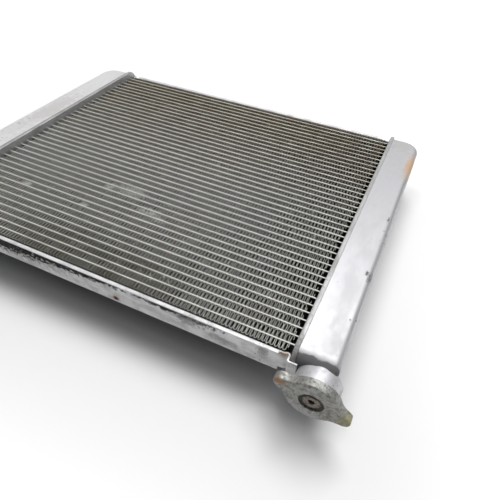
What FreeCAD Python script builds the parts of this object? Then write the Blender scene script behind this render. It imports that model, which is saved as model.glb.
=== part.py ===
import FreeCAD, Part
import math
import os

from FreeCAD import Vector

os.makedirs("parts", exist_ok=True)

# An all-aluminium engine radiator, lying on its rear mounting rails.
# Millimetres. X runs along the tubes, Y along the tanks, Z up through the core's thickness.
# The shapes are drawn about the core's centre, and place() then moves them to the origin.

# Core: flat tubes with folded fin ribbons between them
tube_count = 40
tube_pitch = 10.0
tube_thickness = 2.0
tube_wall = 0.4
core_width = 460.0
core_depth = 27.0
fin_thickness = 0.4
fin_recess = 0.5
fin_fold_pitch = 13.5
fin_end_gap = 4.0
braze_gap = 0.05

# Header plates: pressed channels that the tubes end in
header_wall = 1.6
header_rim_depth = 4.5
header_bend_radius = 1.2
header_end_margin = 16.5
collar_height = 1.2
collar_wall = 0.8
tube_projection = 3.0

# Tanks
tank_depth = 46.0
tank_reach = 43.0
tank_wall = 2.5
tank_end_radius = 14.0
tank_edge_radius = 6.5
tank_far_corner_radius = 22.0
tank_far_setback = 12.5
tank_groove = 0.6
lap_gap = 0.15

# Side plates: angles along the outermost fins, with a joggled tab at each end
plate_thickness = 1.5
plate_flange_reach = 4.7
plate_web_drop = 4.5
plate_bend_radius = 1.0
plate_flange_end_gap = 11.5
tab_reach = 7.5
tab_trim = 1.5
joggle_gap = 0.3
joggle_bend_radius = 1.0
joggle_start = 6.5
joggle_bump = 2.75
joggle_bump_radius = 1.6
joggle_start_radius = 4.0
plate_hole_radius = 2.2
plate_hole_inset = 5.5
plate_hole_x = 38.0

# Filler neck on the near end of the right tank
neck_offset = 29.3
neck_outer_radius = 17.8
neck_wall = 1.6
neck_collar_radius = 21.3
neck_collar_gap = 1.2
neck_root = 4.5
neck_hole_depth = 13.0
neck_length = 20.55
cam_outer_radius = 22.5
cam_wall = 1.5
cam_drop = 5.2
cam_top_wall = 1.5
cam_notch_depth = 2.8
cam_notch_angle = 52.0
seat_radius = 13.0
seat_wall = 1.6

# Overflow nipple
nipple_outer_radius = 4.0
nipple_wall = 1.0
nipple_length = 16.5
nipple_bead = 0.6
nipple_bead_length = 2.0
nipple_bead_set = 4.0
nipple_set = 7.0

# Pressure cap
cap_body_radius = 24.7
cap_ear_radius = 37.2
cap_ear_tip_radius = 7.0
cap_ear_blend = 22.0
cap_wall = 1.2
cap_edge_radius = 2.0
cap_skirt_depth = 8.5
cap_tilt_angle = -18.0
cap_tab_angle = 40.0
cap_quarter_turn = 90.0
cap_tab_inner_radius = 20.2
cap_recess_radius = 11.5
cap_recess_depth = 2.0
cap_turn_gap = 0.3
disc_thickness = 0.4
disc_radius = 19.3
disc_flat_radius = 13.2
disc_rim_radius = 15.6
part_gap = 0.05

# Valve parts inside the cap
eyelet_head_radius = 8.3
eyelet_head_height = 1.3
eyelet_head_edge = 0.8
eyelet_shank_radius = 3.8
eyelet_hole_radius = 2.9
eyelet_hole_depth = 2.6
eyelet_hole_bevel = 0.6
bell_radius = 13.4
bell_wall = 0.6
bell_lip_radius = 11.7
valve_flange_radius = 12.4
valve_flange_height = 1.0
valve_guide_radius = 11.4
valve_guide_wall = 1.4
valve_plate_radius = 14.8
valve_plate_height = 1.2
valve_port_radius = 3.2
valve_lift = 3.0
valve_stop_gap = 1.0
valve_rest_gap = 0.2
seal_height = 2.3
seal_inner_radius = 13.3
seal_outer_radius = 15.6
seal_bevel = 0.5
seal_seat_gap = 0.2
spring_wire_radius = 0.8
spring_mean_radius = 10.6
spring_turns = 3.0
spring_gap = 0.1
vacuum_disc_radius = 5.2
vacuum_disc_height = 1.1
vacuum_stem_radius = 1.4
vacuum_head_radius = 4.2
vacuum_head_height = 0.8
vacuum_travel = 1.5
vacuum_gap = 0.2

# Hose pipes on the rear face
pipe_outer_radius = 16.0
pipe_wall = 1.8
pipe_length = 33.0
pipe_end_inset = 27.0
pipe_inner_stand = 1.0
pipe_bead = 1.3
pipe_bead_length = 4.0
pipe_bead_slope = 1.4
pipe_bead_set = 5.0
pipe_fit_gap = 0.05

# Mounting rails on the rear face
rail_height = 35.0
rail_thickness = 3.0
rail_pipe_gap = 9.7
rail_top_width = 14.0
rail_foot_width = 25.0
rail_bend_radius = 2.0
rail_slot_width = 9.0
rail_slot_length = 18.0
rail_slot_inset = 30.0
rail_edge_margin = 5.5

# How far a cutting shape stands past the surface it cuts, and how close counts as the same place
cut_margin = 1.0
cut_length = 10.0
tolerance = 1e-6

# Values worked out from the sizes above
header_face_x = core_width / 2
core_half_height = (tube_count + 1) * tube_pitch / 2
header_end_y = (tube_count - 1) * tube_pitch / 2 + header_end_margin
tab_outer_y = header_end_y + braze_gap + plate_thickness
half_depth = tank_depth / 2
header_outer_x = header_face_x + header_rim_depth
tank_outer_x = header_face_x + tank_reach
tank_middle_x = (header_outer_x + tank_groove + tank_outer_x) / 2
outlet_y = header_end_y - tank_far_setback - pipe_end_inset
inlet_y = -header_end_y + pipe_end_inset
rail_length = 2 * (outlet_y - pipe_outer_radius - pipe_bead - rail_pipe_gap)
rail_slot_spacing = rail_length - 2 * rail_slot_inset
nipple_y = -header_end_y - nipple_set
neck_x = header_face_x + neck_offset
neck_face_y = -header_end_y - neck_length
cap_tab_y = neck_face_y + cam_drop + cap_turn_gap
cap_inner_y = neck_face_y - cap_turn_gap - disc_thickness - part_gap
cap_face_y = cap_inner_y - cap_wall
cap_ear_tip_x = cap_ear_radius - cap_ear_tip_radius
recess_floor_y = cap_face_y + cap_recess_depth
recess_back_y = recess_floor_y + cap_wall
bell_top_y = recess_back_y + disc_thickness + 2 * part_gap
seat_y = -header_end_y
seal_back_y = seat_y - seal_seat_gap
valve_plate_back_y = seal_back_y - seal_height
valve_plate_front_y = valve_plate_back_y - valve_plate_height
bell_bottom_y = valve_plate_front_y - valve_lift - valve_stop_gap
valve_flange_back_y = bell_bottom_y - bell_wall - valve_rest_gap
valve_flange_front_y = valve_flange_back_y - valve_flange_height
rail_foot_z = -half_depth - rail_height


def place(shape):
    """Move a shape from the core's centre to the row's origin, under the middle of the bounding box."""
    ear_x = neck_x + cap_ear_tip_x * math.cos(math.radians(cap_tilt_angle)) + cap_ear_tip_radius
    middle_x = (ear_x - tank_outer_x) / 2
    middle_y = (cap_face_y + tab_outer_y) / 2
    return shape.translated(Vector(-middle_x, -middle_y, -rail_foot_z))


def export(name, shape):
    place(shape).exportStep("parts/" + name + ".step")


def mirrored_x(shape):
    return shape.mirror(Vector(0, 0, 0), Vector(1, 0, 0))


def mirrored_y(shape):
    return shape.mirror(Vector(0, 0, 0), Vector(0, 1, 0))


def rounded_rectangle(u0, u1, v0, v1, radii, to_point):
    """Face of a rectangle in the plane of to_point(u, v); radii go round from the low-u, low-v corner."""
    corners = [(u0, v0, 1, 1), (u1, v0, -1, 1), (u1, v1, -1, -1), (u0, v1, 1, -1)]
    edges = []
    ends = []
    for index, (u, v, inward_u, inward_v) in enumerate(corners):
        radius = radii[index]
        along_v = to_point(u, v + inward_v * radius)
        along_u = to_point(u + inward_u * radius, v)
        entry, leave = (along_v, along_u) if index % 2 == 0 else (along_u, along_v)
        ends.append((entry, leave))
        if radius > 0:
            bulge = radius * (1 - math.sqrt(0.5))
            middle = to_point(u + inward_u * bulge, v + inward_v * bulge)
            edges.append(Part.Arc(entry, middle, leave).toShape())
    for index in range(4):
        start = ends[index][1]
        end = ends[(index + 1) % 4][0]
        if start.distanceToPoint(end) > tolerance:
            edges.append(Part.LineSegment(start, end).toShape())
    return Part.Face(Part.Wire(Part.__sortEdges__(edges)))


def section_block(x0, x1, y0, y1, half_z, radius):
    """Block along X whose section across X has four rounded corners."""
    face = rounded_rectangle(y0, y1, -half_z, half_z, [radius] * 4, lambda u, v: Vector(x0, u, v))
    return face.extrude(Vector(x1 - x0, 0, 0))


def edges_in_plane(shape, axis, value):
    """Edges whose ends all lie in the plane where the named coordinate has this value."""
    return [edge for edge in shape.Edges
            if all(abs(getattr(vertex.Point, axis) - value) < tolerance for vertex in edge.Vertexes)]


def stadium(x0, x1, y, half_thickness, half_width):
    """Flat tube shape along X: straight faces with round edges, centred on height y."""
    return section_block(x0, x1, y - half_thickness, y + half_thickness, half_width, half_thickness)


def ring_profile(points):
    """Solid turned about the neck's axis from (radius, y) points."""
    corners = [Vector(neck_x + radius, y, 0) for radius, y in points]
    face = Part.Face(Part.makePolygon(corners + corners[:1]))
    return face.revolve(Vector(neck_x, 0, 0), Vector(0, 1, 0), 360)


def offset_points(points, distance):
    """Shift a run of points sideways to the left of its direction, keeping the runs parallel."""
    normals = []
    for (x0, y0), (x1, y1) in zip(points, points[1:]):
        length = math.hypot(x1 - x0, y1 - y0)
        normals.append((-(y1 - y0) / length, (x1 - x0) / length))
    shifted = []
    for index, (x, y) in enumerate(points):
        before = normals[max(index - 1, 0)]
        after = normals[min(index, len(normals) - 1)]
        scale = distance / (1 + before[0] * after[0] + before[1] * after[1])
        shifted.append((x + (before[0] + after[0]) * scale, y + (before[1] + after[1]) * scale))
    return shifted


def turn_sign(before, corner, after):
    cross = ((corner[0] - before[0]) * (after[1] - corner[1])
             - (corner[1] - before[1]) * (after[0] - corner[0]))
    return 1 if cross > 0 else -1


def rounded_run(points, radii, to_point):
    """Edges of straight runs joined by tangent arcs, with one radius per inner corner."""
    edges = []
    start = points[0]
    for before, corner, after, radius in zip(points, points[1:], points[2:], radii):
        into = Vector(corner[0] - before[0], corner[1] - before[1], 0).normalize()
        away = Vector(after[0] - corner[0], after[1] - corner[1], 0).normalize()
        half_turn = into.getAngle(away) / 2
        reach = radius * math.tan(half_turn)
        entry = (corner[0] - into.x * reach, corner[1] - into.y * reach)
        leave = (corner[0] + away.x * reach, corner[1] + away.y * reach)
        inward = (away - into).normalize()
        rise = radius / math.cos(half_turn) - radius
        middle = (corner[0] + inward.x * rise, corner[1] + inward.y * rise)
        edges.append(Part.LineSegment(to_point(*start), to_point(*entry)).toShape())
        edges.append(Part.Arc(to_point(*entry), to_point(*middle), to_point(*leave)).toShape())
        start = leave
    edges.append(Part.LineSegment(to_point(*start), to_point(*points[-1])).toShape())
    return edges


def bent_strip(points, inner_radii, thickness, to_point):
    """Face of a bent sheet's section: both sides of its middle line, with concentric bends."""
    signs = [turn_sign(*points[i:i + 3]) for i in range(len(points) - 2)]
    sides = []
    for side in (1, -1):
        radii = []
        for sign, inner in zip(signs, inner_radii):
            radii.append(inner if sign == side else inner + thickness)
        sides.append(rounded_run(offset_points(points, side * thickness / 2), radii, to_point))
    caps = []
    for end, vertex in ((0, 0), (-1, -1)):
        ends = [side[end].Vertexes[vertex].Point for side in sides]
        caps.append(Part.LineSegment(ends[0], ends[1]).toShape())
    return Part.Face(Part.Wire(Part.__sortEdges__(sides[0] + sides[1] + caps)))


# Tubes and fins

def tube_y(index):
    return (index - (tube_count - 1) / 2) * tube_pitch


def tube(index):
    end_x = header_face_x + header_wall + tube_projection
    outer = stadium(-end_x, end_x, tube_y(index), tube_thickness / 2, core_depth / 2)
    bore = stadium(-end_x, end_x, tube_y(index), tube_thickness / 2 - tube_wall,
                   core_depth / 2 - tube_wall)
    return outer.cut(bore)


def fin_ribbon():
    """One folded ribbon, centred on the first row's height of zero."""
    span = core_width - 2 * fin_end_gap
    folds = round(span / fin_fold_pitch)
    step = span / folds
    crest = (tube_pitch - tube_thickness) / 2 - braze_gap
    fold_height = crest - fin_thickness / 2
    lower = []
    upper = []
    for fold in range(folds + 1):
        x = -span / 2 + fold * step
        y = fold_height * (1 if fold % 2 else -1)
        lower.append(Vector(x, y - fin_thickness / 2, 0))
        upper.append(Vector(x, y + fin_thickness / 2, 0))
    outline = lower + upper[::-1]
    face = Part.Face(Part.makePolygon(outline + outline[:1]))
    fin_depth = core_depth - 2 * fin_recess
    return face.extrude(Vector(0, 0, fin_depth)).translated(Vector(0, 0, -fin_depth / 2))


def fin_ribbons():
    first_y = tube_y(0) - tube_pitch / 2
    ribbon = fin_ribbon()
    rows = [ribbon.translated(Vector(0, first_y + row * tube_pitch, 0)) for row in range(tube_count + 1)]
    return Part.makeCompound(rows)


# Header plates

def header_plate():
    """Right header: a wall across the tube ends, a rim round it and a collar at each tube."""
    plate = section_block(header_face_x, header_outer_x, -header_end_y, header_end_y, half_depth,
                          tank_end_radius)
    plate = plate.makeFillet(header_bend_radius, edges_in_plane(plate, "x", header_face_x))
    pocket = section_block(header_face_x + header_wall, header_outer_x,
                           -header_end_y + header_wall, header_end_y - header_wall,
                           half_depth - header_wall, tank_end_radius - header_wall)
    plate = plate.cut(pocket)
    collars = []
    slots = []
    for index in range(tube_count):
        collars.append(stadium(header_face_x - collar_height, header_face_x + header_wall,
                               tube_y(index), tube_thickness / 2 + braze_gap + collar_wall,
                               core_depth / 2 + braze_gap + collar_wall))
        slots.append(stadium(header_face_x - collar_height, header_face_x + header_wall,
                             tube_y(index), tube_thickness / 2 + braze_gap,
                             core_depth / 2 + braze_gap))
    return plate.multiFuse(collars).removeSplitter().cut(Part.makeCompound(slots))


# Tanks

def tank_block(x0, inset):
    """Tank outline with every outer face moved in by inset."""
    x1 = tank_outer_x - inset
    y0 = -header_end_y + inset
    y1 = header_end_y - tank_far_setback - inset
    half_z = half_depth - inset
    near = tank_end_radius - inset
    corner = tank_far_corner_radius - inset
    face = rounded_rectangle(y0, y1, -half_z, half_z, [near, 0, 0, near], lambda u, v: Vector(x0, u, v))
    block = face.extrude(Vector(x1 - x0, 0, 0))
    plan = rounded_rectangle(x0 - cut_margin, x1, y0 - cut_margin, y1, [0, 0, corner, 0],
                             lambda u, v: Vector(u, v, -tank_depth))
    block = block.common(plan.extrude(Vector(0, 0, 2 * tank_depth)))
    rim = [edge for edge in edges_in_plane(block, "x", x1)
           if min(vertex.Point.y for vertex in edge.Vertexes) < y1 - corner - tolerance]
    return block.makeFillet(tank_edge_radius - inset, rim)


def tank_shell():
    """Right tank: a deep pressed box whose open edge laps inside the header's rim."""
    lap_start = header_face_x + header_wall + lap_gap
    shell_start = header_outer_x + tank_groove
    lap_inset = header_wall + lap_gap
    lap = section_block(lap_start, shell_start, -header_end_y + lap_inset, header_end_y - lap_inset,
                        half_depth - lap_inset, tank_end_radius - lap_inset)
    outer = tank_block(shell_start, 0).fuse(lap)
    cavity = tank_block(lap_start - cut_margin, tank_wall)
    return outer.cut(cavity).removeSplitter()


def tank_right():
    """Right tank with its holes for the filler neck and the outlet pipe."""
    neck_hole = Part.makeCylinder(neck_outer_radius + pipe_fit_gap, neck_hole_depth + cut_margin,
                                  Vector(neck_x, -header_end_y - cut_margin, 0), Vector(0, 1, 0))
    return tank_shell().cut(neck_hole).cut(pipe_hole(tank_middle_x, outlet_y))


def tank_left():
    return mirrored_x(tank_shell()).cut(pipe_hole(-tank_middle_x, inlet_y))


# Side plates

def side_plate():
    """Near plate: an angle with its flange turned away from the core, and two joggled end tabs."""
    flange_x = header_face_x - plate_flange_end_gap
    web_y = -core_half_height - plate_thickness / 2
    web_end_z = -core_depth / 2 - plate_web_drop
    flange_y = -core_half_height - plate_flange_reach
    flange_z = (core_depth - plate_thickness) / 2
    section = [(flange_y, flange_z), (web_y, flange_z), (web_y, web_end_z)]
    face = bent_strip(section, [plate_bend_radius], plate_thickness,
                      lambda u, v: Vector(-flange_x, u, v))
    angle = face.extrude(Vector(2 * flange_x, 0, 0))
    joggle_x = header_face_x - collar_height - joggle_gap
    tab_y = -tab_outer_y + plate_thickness / 2
    run = [(flange_x - plate_thickness, web_y), (header_face_x - joggle_start, web_y),
           (joggle_x, web_y + joggle_bump), (joggle_x, tab_y), (header_face_x + tab_reach, tab_y)]
    radii = [joggle_start_radius, joggle_bump_radius, joggle_bend_radius]
    tab_half = core_depth / 2 - tab_trim
    tab = bent_strip(run, radii, plate_thickness, lambda u, v: Vector(u, v, -tab_half))
    tab = tab.extrude(Vector(0, 0, 2 * tab_half))
    hole = Part.makeCylinder(plate_hole_radius, 2 * tube_pitch,
                             Vector(plate_hole_x, -core_half_height - tube_pitch,
                                    web_end_z + plate_hole_inset), Vector(0, 1, 0))
    return angle.multiFuse([tab, mirrored_x(tab)]).removeSplitter().cut(hole)


# Pipes and rails on the rear face

def pipe_hole(x, y):
    return Part.makeCylinder(pipe_outer_radius + pipe_fit_gap, cut_length,
                             Vector(x, y, -half_depth - cut_margin), Vector(0, 0, 1))


def hose_pipe(x, y):
    """Stub pipe through the tank's rear wall, with a bead near its end to hold a hose."""
    top_z = -half_depth + tank_wall + pipe_inner_stand
    end_z = -half_depth - pipe_length
    bead_z = end_z + pipe_bead_set
    bead_top_z = bead_z + pipe_bead_length
    points = [(pipe_outer_radius - pipe_wall, top_z), (pipe_outer_radius, top_z),
              (pipe_outer_radius, bead_top_z),
              (pipe_outer_radius + pipe_bead, bead_top_z - pipe_bead_slope),
              (pipe_outer_radius + pipe_bead, bead_z + pipe_bead_slope),
              (pipe_outer_radius, bead_z), (pipe_outer_radius, end_z),
              (pipe_outer_radius - pipe_wall, end_z)]
    corners = [Vector(x + radius, y, z) for radius, z in points]
    face = Part.Face(Part.makePolygon(corners + corners[:1]))
    return face.revolve(Vector(x, y, 0), Vector(0, 0, 1), 360)


def mounting_rail():
    """Right rail: a Z-shaped strip along the tank's rear face, with slots for two bolts in its foot."""
    outer_x = tank_outer_x - rail_edge_margin
    web_x = outer_x - rail_top_width + rail_thickness / 2
    top_z = -half_depth - rail_thickness / 2
    foot_z = rail_foot_z + rail_thickness / 2
    foot_x = web_x + rail_thickness / 2 - rail_foot_width
    run = [(outer_x, top_z), (web_x, top_z), (web_x, foot_z), (foot_x, foot_z)]
    face = bent_strip(run, [rail_bend_radius] * 2, rail_thickness,
                      lambda u, v: Vector(u, -rail_length / 2, v))
    rail = face.extrude(Vector(0, rail_length, 0))
    slot_x = (web_x + foot_x) / 2 - rail_thickness / 2
    half_length = rail_slot_length / 2
    half_width = rail_slot_width / 2
    for slot_y in (rail_slot_spacing / 2, -rail_slot_spacing / 2):
        face = rounded_rectangle(slot_x - half_width, slot_x + half_width,
                                 slot_y - half_length, slot_y + half_length, [half_width] * 4,
                                 lambda u, v: Vector(u, v, rail_foot_z - cut_margin))
        rail = rail.cut(face.extrude(Vector(0, 0, rail_thickness + 2 * cut_margin)))
    return rail


# Filler neck

def filler_neck():
    """Turned neck: a collar at the tank, an inner valve seat and a turned-down, notched cam for the cap."""
    bore = neck_outer_radius - neck_wall
    root_y = -header_end_y + neck_root
    collar_front_y = cap_tab_y + cap_wall + neck_collar_gap
    collar_back_y = -header_end_y - braze_gap
    neck = ring_profile([(bore, neck_face_y), (cam_outer_radius, neck_face_y),
                         (cam_outer_radius, neck_face_y + cam_drop),
                         (cam_outer_radius - cam_wall, neck_face_y + cam_drop),
                         (cam_outer_radius - cam_wall, neck_face_y + cam_top_wall),
                         (neck_outer_radius, neck_face_y + cam_top_wall),
                         (neck_outer_radius, collar_front_y), (neck_collar_radius, collar_front_y),
                         (neck_collar_radius, collar_back_y), (neck_outer_radius, collar_back_y),
                         (neck_outer_radius, root_y), (bore, root_y),
                         (bore, seat_y + seat_wall), (seat_radius, seat_y + seat_wall),
                         (seat_radius, seat_y), (bore, seat_y)])
    inner = cam_outer_radius - cam_notch_depth
    for side in (0, 180):
        notch = sector(inner, cam_outer_radius + cut_margin, neck_face_y - cut_margin,
                       neck_face_y + cam_drop + cut_margin, cap_tilt_angle + side, cam_notch_angle)
        neck = neck.cut(notch)
    hole = Part.makeCylinder(nipple_outer_radius + pipe_fit_gap, neck_collar_radius + cut_margin,
                             Vector(neck_x, nipple_y, 0), Vector(0, 0, -1))
    return neck.cut(hole)


def sector(inner, outer, y0, y1, middle_angle, width_angle):
    """Part of a ring about the neck's axis, between two radii and two heights."""
    half = math.radians(width_angle / 2)
    middle = math.radians(middle_angle)

    def at(radius, angle):
        return Vector(neck_x + radius * math.cos(angle), y0, radius * math.sin(angle))

    edges = [Part.Arc(at(outer, middle - half), at(outer, middle), at(outer, middle + half)).toShape(),
             Part.LineSegment(at(outer, middle + half), at(inner, middle + half)).toShape(),
             Part.Arc(at(inner, middle + half), at(inner, middle), at(inner, middle - half)).toShape(),
             Part.LineSegment(at(inner, middle - half), at(outer, middle - half)).toShape()]
    return Part.Face(Part.Wire(Part.__sortEdges__(edges))).extrude(Vector(0, y1 - y0, 0))


def overflow_nipple():
    """Small beaded tube from the side of the neck towards the rear."""
    start = neck_outer_radius - neck_wall
    end = neck_collar_radius + nipple_length
    bore = nipple_outer_radius - nipple_wall
    bead_end = end - nipple_bead_set
    points = [(bore, -start), (nipple_outer_radius, -start),
              (nipple_outer_radius, -bead_end + nipple_bead_length),
              (nipple_outer_radius + nipple_bead, -bead_end + nipple_bead_length / 2),
              (nipple_outer_radius, -bead_end), (nipple_outer_radius, -end), (bore, -end)]
    corners = [Vector(neck_x + radius, nipple_y, z) for radius, z in points]
    face = Part.Face(Part.makePolygon(corners + corners[:1]))
    tube_shape = face.revolve(Vector(neck_x, nipple_y, 0), Vector(0, 0, 1), 360)
    throat = Part.makeCylinder(start, cut_length, Vector(neck_x, nipple_y - cut_length / 2, 0),
                               Vector(0, 1, 0))
    return tube_shape.cut(throat)


# Pressure cap

def cap_outline(inset):
    """Outline of the cap's face: a round body that blends into two rounded finger ears."""
    body = cap_body_radius - inset
    tip = cap_ear_tip_radius - inset
    blend = cap_ear_blend + inset
    body_reach = body + blend
    tip_reach = tip + blend
    blend_x = (body_reach ** 2 - tip_reach ** 2 + cap_ear_tip_x ** 2) / (2 * cap_ear_tip_x)
    blend_z = math.sqrt(body_reach ** 2 - blend_x ** 2)
    body_angle = math.atan2(blend_z, blend_x)
    tip_angle = math.atan2(blend_z, blend_x - cap_ear_tip_x)
    middle_angle = (body_angle + tip_angle) / 2
    body_touch = (body * math.cos(body_angle), body * math.sin(body_angle))
    tip_touch = (cap_ear_tip_x + tip * math.cos(tip_angle), tip * math.sin(tip_angle))
    blend_middle = (blend_x - blend * math.cos(middle_angle), blend_z - blend * math.sin(middle_angle))
    ear_end = (cap_ear_tip_x + tip, 0)

    def at(point, flip_x, flip_z):
        return Vector(neck_x + flip_x * point[0], cap_face_y, flip_z * point[1])

    edges = []
    for flip_x in (1, -1):
        for flip_z in (1, -1):
            edges.append(Part.Arc(at(body_touch, flip_x, flip_z), at(blend_middle, flip_x, flip_z),
                                  at(tip_touch, flip_x, flip_z)).toShape())
        edges.append(Part.Arc(at(tip_touch, flip_x, 1), at(ear_end, flip_x, 1),
                              at(tip_touch, flip_x, -1)).toShape())
    for flip_z in (1, -1):
        edges.append(Part.Arc(at(body_touch, 1, flip_z), at((0, body), 1, flip_z),
                              at(body_touch, -1, flip_z)).toShape())
    return Part.Face(Part.Wire(Part.__sortEdges__(edges)))


def cap_shell():
    """Pressed steel cap: a recessed face, a skirt all round and two tabs that hook under the neck's cam."""
    blank = cap_outline(0).extrude(Vector(0, cap_skirt_depth, 0))
    blank = blank.makeFillet(cap_edge_radius, edges_in_plane(blank, "y", cap_face_y))
    hollow = cap_outline(cap_wall).extrude(Vector(0, cap_skirt_depth, 0))
    shell = blank.cut(hollow.translated(Vector(0, cap_wall, 0)))
    boss = ring_profile([(0, recess_floor_y), (cap_recess_radius, recess_floor_y),
                         (cap_recess_radius, cap_face_y + cap_wall / 2),
                         (cap_recess_radius + cap_wall, cap_face_y + cap_wall / 2),
                         (cap_recess_radius + cap_wall, recess_back_y),
                         (0, recess_back_y)])
    dish = Part.makeCylinder(cap_recess_radius, cap_recess_depth, Vector(neck_x, cap_face_y, 0),
                             Vector(0, 1, 0))
    shell = shell.cut(dish).fuse(boss)
    for middle in (cap_quarter_turn, -cap_quarter_turn):
        shell = shell.fuse(sector(cap_tab_inner_radius, cap_body_radius - cap_wall / 2,
                                  cap_tab_y, cap_tab_y + cap_wall, middle, cap_tab_angle))
    hole = Part.makeCylinder(eyelet_shank_radius + part_gap, cap_skirt_depth,
                             Vector(neck_x, cap_face_y, 0), Vector(0, 1, 0))
    shell = shell.removeSplitter().cut(hole)
    shell.rotate(Vector(neck_x, 0, 0), Vector(0, 1, 0), -cap_tilt_angle)
    return shell


def locking_disc():
    """Dished spring disc that seals on the neck's rim."""
    rim_y = cap_inner_y + part_gap
    flat_y = recess_back_y + part_gap
    inner = eyelet_shank_radius + part_gap
    return ring_profile([(inner, flat_y), (disc_flat_radius, flat_y), (disc_rim_radius, rim_y),
                         (disc_radius, rim_y), (disc_radius, rim_y + disc_thickness),
                         (disc_rim_radius + disc_thickness / 2, rim_y + disc_thickness),
                         (disc_flat_radius + disc_thickness / 2, flat_y + disc_thickness),
                         (inner, flat_y + disc_thickness)])


def valve_bell():
    """Drawn bell that holds the spring, with the eyelet that rivets it to the cap."""
    head_back = recess_floor_y - part_gap
    head_front = head_back - eyelet_head_height
    hole_end = head_front + eyelet_hole_depth
    inner_radius = bell_radius - bell_wall
    inner_top = bell_top_y + bell_wall
    inner_bottom = bell_bottom_y - bell_wall
    return ring_profile([(0, hole_end), (eyelet_hole_radius, hole_end),
                         (eyelet_hole_radius, head_front + eyelet_hole_bevel),
                         (eyelet_hole_radius + eyelet_hole_bevel, head_front),
                         (eyelet_head_radius - eyelet_head_edge, head_front),
                         (eyelet_head_radius, head_front + eyelet_head_edge),
                         (eyelet_head_radius, head_back), (eyelet_shank_radius, head_back),
                         (eyelet_shank_radius, bell_top_y), (bell_radius, bell_top_y),
                         (bell_radius, bell_bottom_y), (bell_lip_radius, bell_bottom_y),
                         (bell_lip_radius, inner_bottom), (inner_radius, inner_bottom),
                         (inner_radius, inner_top), (0, inner_top)])


def pressure_valve():
    """Flanged guide that hangs on the bell's lip, with the plate that carries the seal."""
    guide_inner = valve_guide_radius - valve_guide_wall
    return ring_profile([(guide_inner, valve_flange_front_y), (valve_flange_radius, valve_flange_front_y),
                         (valve_flange_radius, valve_flange_back_y),
                         (valve_guide_radius, valve_flange_back_y),
                         (valve_guide_radius, valve_plate_front_y),
                         (valve_plate_radius, valve_plate_front_y),
                         (valve_plate_radius, valve_plate_back_y), (valve_port_radius, valve_plate_back_y),
                         (valve_port_radius, valve_plate_front_y), (guide_inner, valve_plate_front_y)])


def pressure_seal():
    """Rubber ring under the valve plate, just clear of the neck's inner seat."""
    bevel_radius = seal_outer_radius - seal_bevel
    return ring_profile([(seal_inner_radius, valve_plate_back_y), (bevel_radius, valve_plate_back_y),
                         (seal_outer_radius, valve_plate_back_y + seal_bevel),
                         (seal_outer_radius, seal_back_y - seal_bevel),
                         (bevel_radius, seal_back_y), (seal_inner_radius, seal_back_y)])


def pressure_spring():
    """Coil between the bell's closed end and the valve's flange."""
    start = bell_top_y + bell_wall + spring_wire_radius + spring_gap
    end = valve_flange_front_y - spring_wire_radius - spring_gap
    height = end - start
    helix = Part.makeHelix(height / spring_turns, height, spring_mean_radius)
    wire = Part.Wire(Part.makeCircle(spring_wire_radius, Vector(spring_mean_radius, 0, 0),
                                     Vector(0, 1, 0)))
    coil = Part.Wire(helix).makePipeShell([wire], True, True)
    coil.rotate(Vector(0, 0, 0), Vector(1, 0, 0), -90)
    return coil.translated(Vector(neck_x, start, 0))


def vacuum_valve():
    """Weighted valve that hangs in the pressure valve's port and opens inwards."""
    disc_front = valve_plate_back_y + vacuum_gap
    disc_back = disc_front + vacuum_disc_height
    head_back = valve_plate_front_y - vacuum_travel - vacuum_gap
    head_front = head_back - vacuum_head_height
    return ring_profile([(0, head_front), (vacuum_head_radius, head_front),
                         (vacuum_head_radius, head_back), (vacuum_stem_radius, head_back),
                         (vacuum_stem_radius, disc_front), (vacuum_disc_radius, disc_front),
                         (vacuum_disc_radius, disc_back), (0, disc_back)])


# Every sub-part in its own file

for number in range(tube_count):
    export("tube_{:02d}".format(number + 1), tube(number))
export("fin_ribbons", fin_ribbons())
right_header = header_plate()
export("header_plate_right", right_header)
export("header_plate_left", mirrored_x(right_header))
export("tank_right", tank_right())
export("tank_left", tank_left())
near_plate = side_plate()
export("side_plate_near", near_plate)
export("side_plate_far", mirrored_y(near_plate))
right_rail = mounting_rail()
export("mounting_rail_right", right_rail)
export("mounting_rail_left", mirrored_x(right_rail))
export("inlet_pipe", hose_pipe(-tank_middle_x, inlet_y))
export("outlet_pipe", hose_pipe(tank_middle_x, outlet_y))
export("filler_neck", filler_neck())
export("overflow_nipple", overflow_nipple())
export("cap_shell", cap_shell())
export("locking_disc", locking_disc())
export("valve_bell", valve_bell())
export("pressure_spring", pressure_spring())
export("pressure_valve", pressure_valve())
export("pressure_seal", pressure_seal())
export("vacuum_valve", vacuum_valve())
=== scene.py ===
"""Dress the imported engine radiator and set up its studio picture."""

import logging
import math
import random
from collections.abc import Iterable
from dataclasses import dataclass, replace
from enum import Enum
from typing import Optional, Union

import bpy
from mathutils import Euler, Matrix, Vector, noise


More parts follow.
